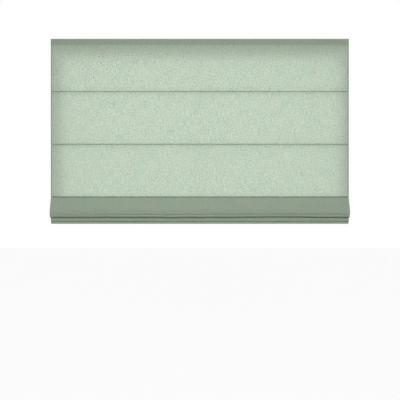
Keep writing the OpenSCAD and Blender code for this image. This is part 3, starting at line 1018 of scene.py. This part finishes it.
    def into_seam(self, rod: int) -> np.ndarray:
        """Section of the cloth as it turns back into a rod's seam from above.

        Args:
            rod: The rod's number. The panel above the third rod ends a little higher.

        Returns:
            Section places.
        """
        size = self.sizes
        low = size.rod_z[rod - 1] + size.seam_half + (size.panel_rise if rod == 3 else 0.0)
        bend = arc((size.cloth_y + size.seam_r, low + size.seam_r), size.seam_r, ROOMWARD, DOWNWARD,
                   self.bend_points)
        inside = (float(bend[-1][0]) + size.seam_deep, low)
        return joined(bend, line(tuple(bend[-1]), inside, self.seam_step))

    def faced_top(self) -> np.ndarray:
        """Section of the front fold's round shoulder, whose end is turned over and hangs behind it.

        Returns:
            Section places.
        """
        size = self.sizes
        top = size.rod_z[2] - size.seam_half - size.shoulder_drop
        turn = size.seam_half
        behind = size.cloth_y + size.seam_r + size.seam_deep - 2 * turn
        hang = line((behind, top - size.facing), (behind, top - turn), self.turned_step)
        bend = arc((behind - turn, top - turn), turn, WALLWARD, UPWARD, self.facing_points)
        shoulder = arc((size.cloth_y + size.shoulder_r, top - size.shoulder_r), size.shoulder_r,
                       UPWARD, ROOMWARD, self.shoulder_points)
        return joined(hang, bend, shoulder)

    def top_edge(self) -> np.ndarray:
        """Section of the cloth's upper end, folded over behind the head strip.

        Returns:
            Section places.
        """
        size = self.sizes
        turn = self.over_turn
        behind = (size.cloth_y + 2 * turn, -size.top - self.over_past)
        over = arc((size.cloth_y + turn, size.top - turn), turn, WALLWARD, ROOMWARD, self.bend_points)
        return joined(line(behind, tuple(over[0]), self.step), over)

    def flat_panel(self, number: int) -> None:
        """One flat panel with its side stitches.

        Args:
            number: The panel, counted from the top.
        """
        start = self.top_edge() if number == 1 else self.from_seam(number - 1)
        end = self.into_seam(number)
        path = joined(start, line(tuple(start[-1]), tuple(end[0]), self.step), end)
        calm = float(run_length(start)[-1]) + 2 * self.sizes.top if number == 1 else 0.0
        piece = self.sheet(f"cloth_panel_{number}", path, self.panel_sway(path, number, calm))
        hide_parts(f"fabric_panel_{number}")
        self.fold_behind(piece)
        self.side_stitches(number, float(start[-1][1]), float(end[0][1]))

    def fold_behind(self, piece: bpy.types.Object) -> None:
        """Bakes the piece's transform into its points.

        Args:
            piece: The panel, or its stitches.
        """
        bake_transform(piece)

    def side_stitches(self, number: int, high: float, low: float) -> None:
        """Stitches down both side hems of a panel, on the side that faces the wall.

        Args:
            number: The panel, counted from the top.
            high: The height of the panel's upper edge.
            low: The height of its lower edge.
        """
        size = self.sizes
        height = np.arange(high - self.side_start, low, -self.stitch.pitch)
        inset = size.width / 2 - size.hem_w + self.side_inset
        depth = size.cloth_y + size.hem_gap + self.stitch.proud
        centres = np.stack(np.broadcast_arrays(np.array([[-inset], [inset]]), depth, height), axis=-1)
        piece = self.sew(f"side_stitches_{number}", centres.reshape(-1, 3), (0, 0, 1), (0, 1, 0))
        self.fold_behind(piece)

    def fold(self, number: int, start: np.ndarray, edge: FoldEdge, end: Place) -> None:
        """One gathered fold: a front that hangs from its rod and a back that stays where it is drawn.

        Args:
            number: The fold, counted from the front.
            start: Section of the cloth as it leaves its seam.
            edge: The fold's lower edge.
            end: Where the back layer ends, under the next rod.
        """
        turn = edge.section(start[-1], np.array(end))
        front = joined(start, line(tuple(start[-1]), tuple(turn[0]), self.step), turn)
        back = line(tuple(turn[-1]), end, self.step)
        rod = number + 2
        foremost = float(number == 1)
        sway = self.stack_sway(front) + foremost * self.crease(front)
        lower = self.sheet(f"fold_{number}_front", front, sway,
                           foremost * self.edge_lift(front))
        rise = self.sheet(f"fold_{number}_back", back, self.stack_sway(back),
                          foremost * self.edge_lift(back))
        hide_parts(f"fold_{number}")
        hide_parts(f"fold_{number}")
        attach(lower, CHAIN[rod].value)
        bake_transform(rise)

    def folds(self) -> None:
        """Both gathered folds, one behind the other.

        The front one hangs from its faced shoulder, and the second one slips off its rod.
        """
        size = self.sizes
        tuck = size.web_t / 2 + size.cloth_t
        z_4, z_5 = size.rod_z[3], size.rod_z[4]
        self.fold(1, self.faced_top(), size.first_edge, (size.crest(1), z_4 - tuck))
        leave = np.array([[size.crest(2) + size.layer_gap, z_4], [size.crest(2), z_4 - size.layer_gap]])
        self.fold(2, leave, size.second_edge, (size.crest(3), z_5 - tuck))

    def hem(self) -> None:
        """The hem panel, which wraps the bottom bar and is sewn to itself above it.

        Its section runs down in front of the bar, round two lower corners, up behind the bar and
        over it to the front again.
        """
        size = self.sizes
        room = size.bar_clear + size.cloth_t + self.bar_room
        low, high = size.bar[0], size.bar[1]
        front, back = low[1] - room, high[1] + room
        bottom, top = low[2] - room, high[2] + room
        turn = self.hem_turn
        corner = self.corner_points
        path = joined(line((size.crest(4), size.rod_z[4]), (front, top + self.hem_rise), self.step),
                      line((front, top), (front, bottom + turn), self.step),
                      arc((front + turn, bottom + turn), turn, ROOMWARD, DOWNWARD, corner),
                      arc((back - turn, bottom + turn), turn, DOWNWARD, TURN, corner),
                      line((back, bottom + turn), (back, top - turn), self.step),
                      arc((back - turn, top - turn), turn, WALLWARD, UPWARD, corner),
                      line((back - turn, top), (front + self.hem_lap, top), self.seam_step))
        free = np.clip((path[:, 1] - top - self.hem_still) / self.hem_free, 0.0, 1.0)[None]
        piece = self.sheet("cloth_hem", path, self.stack_sway(path) * free)
        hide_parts("hem_panel")
        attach(piece, Body.ROD_5.value)
        self.long_row("hem_stitches", (back - turn, top), Body.ROD_5)

    def long_row(self, name: str, place: Place, body: Body) -> None:
        """A row of stitches along the whole width, on an upper side of the cloth.

        Args:
            name: The piece's name.
            place: Where the row lies in the section.
            body: What it rides on.
        """
        reach = self.sizes.width / 2 - self.row_inset
        across = np.arange(-reach, reach, self.stitch.pitch)
        centres = np.stack(np.broadcast_arrays(across, place[0], place[1]), axis=-1)
        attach(self.sew(name, centres, (1, 0, 0), (0, 0, 1)), body.value)

    def pocket(self, rod: int) -> None:
        """The pocket of one rod: a flap of doubled cloth sewn at the seam, with a tube for the rod.

        The section starts at the seam, runs back over the web, goes round the rod and comes back
        under the web. Its puckers grow and shrink as half a sine along it.

        Args:
            rod: The rod's number.
        """
        size = self.sizes
        z = size.rod_z[rod - 1]
        flat_seam = size.cloth_y + size.seam_r + self.pocket_from * size.seam_deep
        seam_y = {4: size.crest(1), 5: size.crest(3)}.get(rod, flat_seam)
        half = size.cloth_t / 2
        round_r = size.rod_r + size.bar_clear + half
        slip = math.asin(half / round_r)
        upper = line((seam_y, z + half), (size.rod_y - round_r * math.cos(slip), z + half),
                     self.pocket_step)
        turn = arc((size.rod_y, z), round_r, TURN / 2 - slip, slip - TURN / 2, self.pocket_points)
        lower = line(tuple(turn[-1]), (seam_y, z - half), self.pocket_step)
        path = joined(upper, turn, lower)
        pucker = self.pocket_puckers.across(self.strip_x, (0.0, float(rod), 0.0))
        rise = np.sin(math.pi * np.linspace(0.0, 1.0, len(path)))
        self.strip(f"rod_pocket_{rod}", path, LINEN, rod, pucker * rise)
        place = (size.rod_y - round_r - self.row_back, z + half + self.stitch.proud)
        self.long_row(f"pocket_stitches_{rod}", place, CHAIN[rod])

    def binding(self) -> None:
        """The tape inside the third seam, which hangs from the panel above behind the shoulder below. It
        closes the seam's gap, and its colour, darker than the cloth's, is painted shade for the seam's
        dark line.
        """
        size = self.sizes
        start = tuple(self.into_seam(3)[-1])
        depth = size.cloth_y + size.seam_r + self.binding_from * size.seam_deep
        high = (depth, size.rod_z[2] + size.cloth_t)
        path = joined(line(start, high, self.binding_step),
                      line(high, (depth, high[1] - size.facing), self.pocket_step))
        self.strip("seam_binding_painted_shade", path, PAINTED_SHADE_BINDING, 3)

    def build(self) -> List[bpy.types.Object]:
        """Makes the whole cloth from the headrail down.

        Returns:
            Its pieces.
        """
        for number in (1, 2, 3):
            self.flat_panel(number)
        self.folds()
        self.hem()
        for rod in range(1, 6):
            self.pocket(rod)
        self.binding()
        return self.pieces


@dataclass
class LiftCords:
    """Three braided cords, wound on the drums and let down through the rings to their beads."""

    sizes: Sizes
    finishes: Finishes
    pieces: List[bpy.types.Object] = field(default_factory=list)
    sides: int = 10
    over_reach: float = 0.085
    drop_step: float = 6.0 * MM
    coil_points: int = 28
    knot_turns: float = 1.6
    knot_points: int = 40
    knot_r: float = 1.1 * MM
    knot_rise: float = 1.4 * MM
    knot_pitch: float = 0.35 * MM
    knot_lead: float = 1.0 * MM

    def cord(self, name: str, paths: Sequence[np.ndarray]) -> bpy.types.Object:
        """Makes stretches of cord in the braid finish, and hides the imported cords.

        Args:
            name: The piece's name.
            paths: The places along each cord.

        Returns:
            The new piece.
        """
        piece = tubes(name, paths, self.sizes.cord_r, self.sides)
        self.finishes.wear(piece, BRAID)
        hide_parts("lift_cords")
        self.pieces.append(piece)
        return piece

    def drop(self, x: float, high: float, low: float) -> np.ndarray:
        """Places down one straight stretch of cord."""
        z = np.linspace(high, low, max(3, int((high - low) / self.drop_step)))
        return np.stack(np.broadcast_arrays(x, self.sizes.cord_y, z), axis=-1)

    def stretch(self, stage: int, high: float, low: float) -> None:
        """The three cords between two rods, as straight drops whose transform is baked in place.

        Args:
            stage: The body at the upper end, counted from the headrail.
            high: The height of the upper end.
            low: The height of the lower end.
        """
        size = self.sizes
        past = low - self.over_reach * (high - low)
        piece = self.cord(f"cords_{stage + 1}", [self.drop(x, high, low) for x in size.cord_x])
        CHAIN[stage + 1].value
        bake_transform(piece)

    def wound(self, x: float) -> np.ndarray:
        """Helix of cord on one drum: one turn for each cord's thickness along the drum.

        Args:
            x: The drum's middle.

        Returns:
            The places along the cord.
        """
        size = self.sizes
        turns = size.wound / (2 * size.cord_r) - 1.0
        angle = np.linspace(TURN / 2, TURN / 2 + TURN * turns, int(turns * self.coil_points))
        along = (angle - angle[0]) / TURN * 2 * size.cord_r
        along -= along[-1] / 2
        return np.stack([x + along, size.shaft[0] + size.wind_r * np.cos(angle),
                         size.shaft[1] + size.wind_r * np.sin(angle)], axis=1)

    def knot(self, x: float) -> np.ndarray:
        """End of one cord: it runs down through its bead and ends in a small overhand turn.

        Args:
            x: The cord's place along the blind.

        Returns:
            The places along the cord.
        """
        size = self.sizes
        angle = np.linspace(0.0, self.knot_turns * TURN, self.knot_points)
        height = size.cord_end + self.knot_rise - self.knot_pitch * angle / TURN
        turn = np.stack([x + self.knot_r * np.sin(angle),
                         size.cord_y + self.knot_r * (1 - np.cos(angle)), height], axis=1)
        return np.concatenate([self.drop(x, size.rod_z[4], float(height[0]) + self.knot_lead), turn])

    def build(self) -> List[bpy.types.Object]:
        """Makes the wound cord, each stretch between the rods and the ends.

        Returns:
            Their pieces.
        """
        size = self.sizes
        coil = self.cord("wound_cords", [self.wound(x) for x in size.cord_x])
        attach(coil, Body.RAIL.value)
        heights = [size.shaft[1]] + size.rod_z
        for stage, (high, low) in enumerate(zip(heights, heights[1:])):
            self.stretch(stage, high, low)
        ends = self.cord("cord_ends", [self.knot(x) for x in size.cord_x])
        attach(ends, Body.ROD_5.value)
        return self.pieces


@dataclass
class Hardware:
    """The rigid pieces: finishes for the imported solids, and a smooth coil for the spring."""

    sizes: Sizes
    finishes: Finishes
    pieces: List[bpy.types.Object] = field(default_factory=list)
    spring_turns: int = 18
    turn_points: int = 32
    wire_r: float = 0.6 * MM
    wire_sides: int = 10

    def dress_nodes(self, nodes: Mapping[str, bpy.types.Object]) -> None:
        """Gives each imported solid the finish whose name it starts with, the longest name first.

        Args:
            nodes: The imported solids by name.
        """
        for name, piece in nodes.items():
            fitting = [key for key in NODE_FINISH if name.startswith(key)]
            if fitting:
                self.finishes.wear(piece, NODE_FINISH[max(fitting, key=len)])
                self.pieces.append(piece)

    def spring(self) -> None:
        """Balance spring: a tube along an even helix round the shaft."""
        low, high = (np.array(corner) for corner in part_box("balance_spring"))
        radius = float(high[2] - low[2]) / 2 - self.wire_r
        part = np.linspace(0.0, 1.0, self.spring_turns * self.turn_points)
        angle = part * TURN * self.spring_turns
        x = low[0] + self.wire_r + part * (high[0] - low[0] - 2 * self.wire_r)
        path = np.stack([x, self.sizes.shaft[0] + radius * np.cos(angle),
                         self.sizes.shaft[1] + radius * np.sin(angle)], axis=1)
        piece = tubes("spring_coil", [path], self.wire_r, self.wire_sides)
        self.finishes.wear(piece, DRAWN_STEEL)
        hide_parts("balance_spring")
        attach(piece, Body.RAIL.value)
        self.pieces.append(piece)

    def build(self, nodes: Mapping[str, bpy.types.Object]) -> List[bpy.types.Object]:
        """Dresses every rigid piece.

        Args:
            nodes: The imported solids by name.

        Returns:
            The dressed pieces.
        """
        self.dress_nodes(nodes)
        self.spring()
        return self.pieces


@dataclass(frozen=True)
class Lamp:
    """A soft rectangular lamp that the camera doesn't see."""

    name: str
    place: Triple
    target: Triple
    size: Place
    power: float
    spread: float = TURN / 2

    def build(self) -> None:
        """Hangs the lamp at its place, turned to its target."""
        light = bpy.data.lights.new(self.name, "AREA")
        light.shape = "RECTANGLE"
        light.size, light.size_y = self.size
        light.energy = self.power
        light.spread = self.spread
        lamp = bpy.data.objects.new(self.name, light)
        lamp.location = self.place
        away = np.array(self.place) - np.array(self.target)
        level = math.hypot(away[0], away[1])
        lamp.rotation_euler = (math.atan2(level, away[2]), 0.0, math.atan2(away[0], -away[1]))
        lamp.visible_camera = False
        bpy.context.scene.collection.objects.link(lamp)


@dataclass
class Studio:
    """Camera, lamps, floor and a pale surround."""

    view_w: float = 1.744
    view_z: float = -0.69
    view_x: float = 0.9 * MM
    distance: float = 2.05
    sensor: float = 36.0
    dome: float = 0.32
    floor_z: float = -1.62
    floor_half: float = 7.0
    floor_glow: float = 0.95
    floor_tone: float = 0.6
    key: Lamp = Lamp("key", (-0.05, -3.1, 0.75), (0.0, 0.0, -0.72), (3.2, 1.0), 21.3, TURN / 4)
    back: Lamp = Lamp("back", (0.008, -0.0246, -0.3945), (0.008, -1.0, -0.3945), (1.22, 0.661), 2.56)

    def camera(self, cloth_y: float) -> None:
        """A level camera square to the cloth, whose frame is view_w wide at the cloth.

        Args:
            cloth_y: The depth of the flat cloth.
        """
        lens = bpy.data.cameras.new("photo_camera")
        lens.sensor_width = self.sensor
        lens.lens = self.sensor * self.distance / self.view_w
        eye = bpy.data.objects.new("photo_camera", lens)
        eye.location = (self.view_x, cloth_y - self.distance, self.view_z)
        eye.rotation_euler = (TURN / 4, 0.0, 0.0)
        bpy.context.scene.collection.objects.link(eye)
        bpy.context.scene.camera = eye

    def world(self) -> None:
        """White surround for the eye and for reflections, and a softer dome for the light."""
        world = bpy.data.worlds.new("pale_surround")
        world.use_nodes = True
        bpy.context.scene.world = world
        graph = Graph(world.node_tree)
        path = graph.node("ShaderNodeLightPath")
        eye, shine, clear = (Signal(graph, path.outputs[f"Is {kind} Ray"])
                             for kind in ("Camera", "Glossy", "Transmission"))
        seen = graph.math("MAXIMUM", graph.math("MAXIMUM", eye, shine), clear)
        strength = self.dome + seen * (1.0 - self.dome)
        back = graph.signal("ShaderNodeBackground", None, {"Color": WHITE, "Strength": strength})
        graph.node("ShaderNodeOutputWorld", None, {"Surface": back})

    def floor(self) -> None:
        """A wide pale floor that keeps the blind's soft shadow."""
        side = self.floor_half
        corners = np.array([[-side, -side], [side, -side], [side, side], [-side, side]])
        points = np.concatenate([corners, np.full((4, 1), self.floor_z)], axis=1)
        piece = make_piece("floor", points, np.array([[0, 1, 2, 3]]), smooth=False)
        made, graph = new_material("pale_floor")
        seen = graph.signal("ShaderNodeLightPath", output="Is Camera Ray")
        matt = graph.signal("ShaderNodeBsdfDiffuse", None, {"Color": (*(self.floor_tone,) * 3, 1.0)})
        glow = graph.signal("ShaderNodeEmission", None, {"Color": WHITE, "Strength": 1.0})
        graph.surface(graph.signal("ShaderNodeMixShader", None,
                                   {0: seen * self.floor_glow, 1: matt, 2: glow}))
        piece.data.materials.append(made)

    def build(self, cloth_y: float) -> None:
        """Sets the stage.

        Args:
            cloth_y: The depth of the flat cloth.
        """
        bpy.context.scene.view_settings.view_transform = "Standard"
        self.camera(cloth_y)
        self.world()
        self.floor()
        self.key.build()
        self.back.build()


def main() -> None:
    logging.basicConfig(level=logging.INFO, format="%(name)s %(message)s")
    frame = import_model()
    sizes = Sizes()
    finishes = Finishes()
    Studio().build(sizes.cloth_y)
    pieces = Cloth(sizes, finishes).build()
    pieces += LiftCords(sizes, finishes).build()
    pieces += Hardware(sizes, finishes).build(frame["nodes"])
    for piece in pieces:
        LOG.info("%s: %s, %d faces", piece.name, piece.data.materials[0].name, len(piece.data.polygons))


if __name__ == "__main__":
    main()
